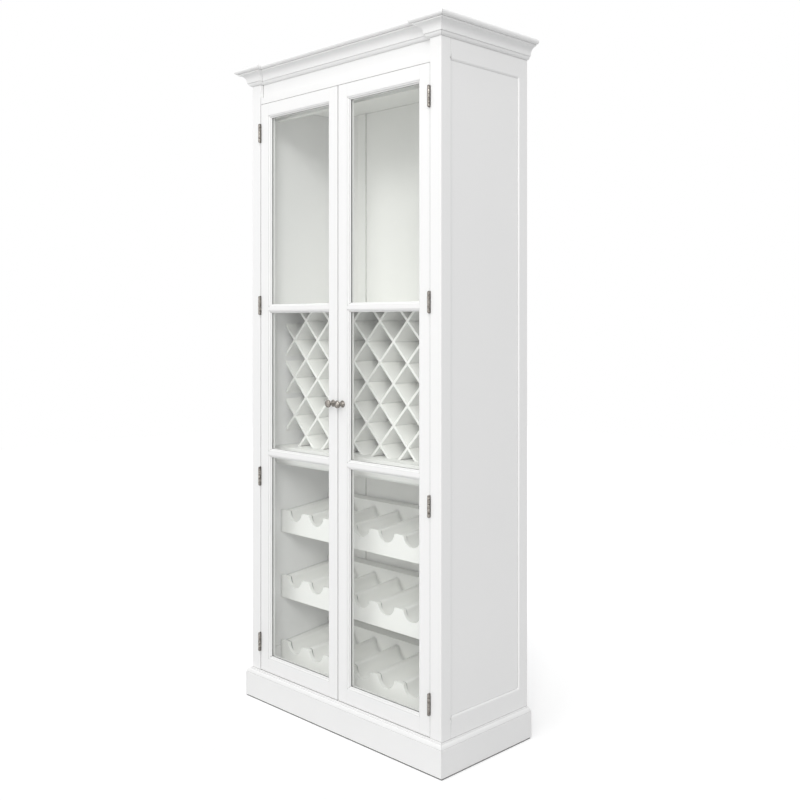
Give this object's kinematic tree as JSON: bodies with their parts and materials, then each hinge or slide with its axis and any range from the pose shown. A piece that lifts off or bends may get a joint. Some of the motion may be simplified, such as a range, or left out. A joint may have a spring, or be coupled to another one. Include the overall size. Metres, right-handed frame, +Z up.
{
  "type": "wine cabinet",
  "caption": "Tall free-standing wine cabinet with hinged glazed doors, an open display space, a diamond bottle lattice and scalloped bottle racks.",
  "frame": {"origin": "on the floor, in the middle of the overall width and depth over the cornice", "axes": "+X to the right seen from the front, +Y to the back, +Z up; the doors face -Y"},
  "size_m": [0.908, 0.408, 2],
  "materials": {
    "white_paint": "satin white paint on wood",
    "inner_paint": "white paint on wood, matt, inside the cabinet",
    "pane_glass": "clear glass with a faint green edge",
    "aged_pewter": "aged grey metal, worn bright on the high spots"
  },
  "bodies": {
    "cabinet": {"plinth_front": "white_paint", "plinth_left": "white_paint", "plinth_right": "white_paint", "bottom_board": "inner_paint", "corner_post_left": "white_paint", "corner_post_right": "white_paint", "side_frame_left": "white_paint", "side_frame_right": "white_paint", "side_panel_left": "white_paint", "side_panel_right": "white_paint", "header_and_top_cover": "white_paint", "top_board": "inner_paint", "cornice_front": "white_paint", "cornice_left": "white_paint", "cornice_right": "white_paint", "back_panel": "inner_paint", "upper_shelf": "inner_paint", "lower_shelf": "inner_paint", "wine_lattice_left": "inner_paint", "wine_lattice_right": "inner_paint", "bottle_rack_upper": "inner_paint", "bottle_rack_middle": "inner_paint", "bottle_rack_lower": "inner_paint", "double_magnetic_catch": "aged_pewter", "hinge_left_1_post_leaf": "aged_pewter", "hinge_left_2_post_leaf": "aged_pewter", "hinge_left_3_post_leaf": "aged_pewter", "hinge_left_4_post_leaf": "aged_pewter", "hinge_right_1_post_leaf": "aged_pewter", "hinge_right_2_post_leaf": "aged_pewter", "hinge_right_3_post_leaf": "aged_pewter", "hinge_right_4_post_leaf": "aged_pewter"},
    "door_left": {"door_left_hinge_stile": "white_paint", "door_left_meeting_stile": "white_paint", "door_left_top_rail": "white_paint", "door_left_upper_mid_rail": "white_paint", "door_left_lower_mid_rail": "white_paint", "door_left_bottom_rail": "white_paint", "door_left_upper_pane": "pane_glass", "door_left_middle_pane": "pane_glass", "door_left_lower_pane": "pane_glass", "door_left_knob": "aged_pewter", "hinge_left_1_door_leaf": "aged_pewter", "hinge_left_2_door_leaf": "aged_pewter", "hinge_left_3_door_leaf": "aged_pewter", "hinge_left_4_door_leaf": "aged_pewter"},
    "door_right": {"door_right_hinge_stile": "white_paint", "door_right_meeting_stile": "white_paint", "door_right_top_rail": "white_paint", "door_right_upper_mid_rail": "white_paint", "door_right_lower_mid_rail": "white_paint", "door_right_bottom_rail": "white_paint", "door_right_upper_pane": "pane_glass", "door_right_middle_pane": "pane_glass", "door_right_lower_pane": "pane_glass", "door_right_knob": "aged_pewter", "hinge_right_1_door_leaf": "aged_pewter", "hinge_right_2_door_leaf": "aged_pewter", "hinge_right_3_door_leaf": "aged_pewter", "hinge_right_4_door_leaf": "aged_pewter"}
  },
  "joints": [
    {"name": "door_left_hinge", "type": "hinge", "parent": "cabinet", "child": "door_left", "pos_m": [-0.36925, -0.1653, 0], "axis": [0, 0, -1], "range_deg": [0, 180]},
    {"name": "door_right_hinge", "type": "hinge", "parent": "cabinet", "child": "door_right", "pos_m": [0.36925, -0.1653, 0], "axis": [0, 0, 1], "range_deg": [0, 180]}
  ]
}
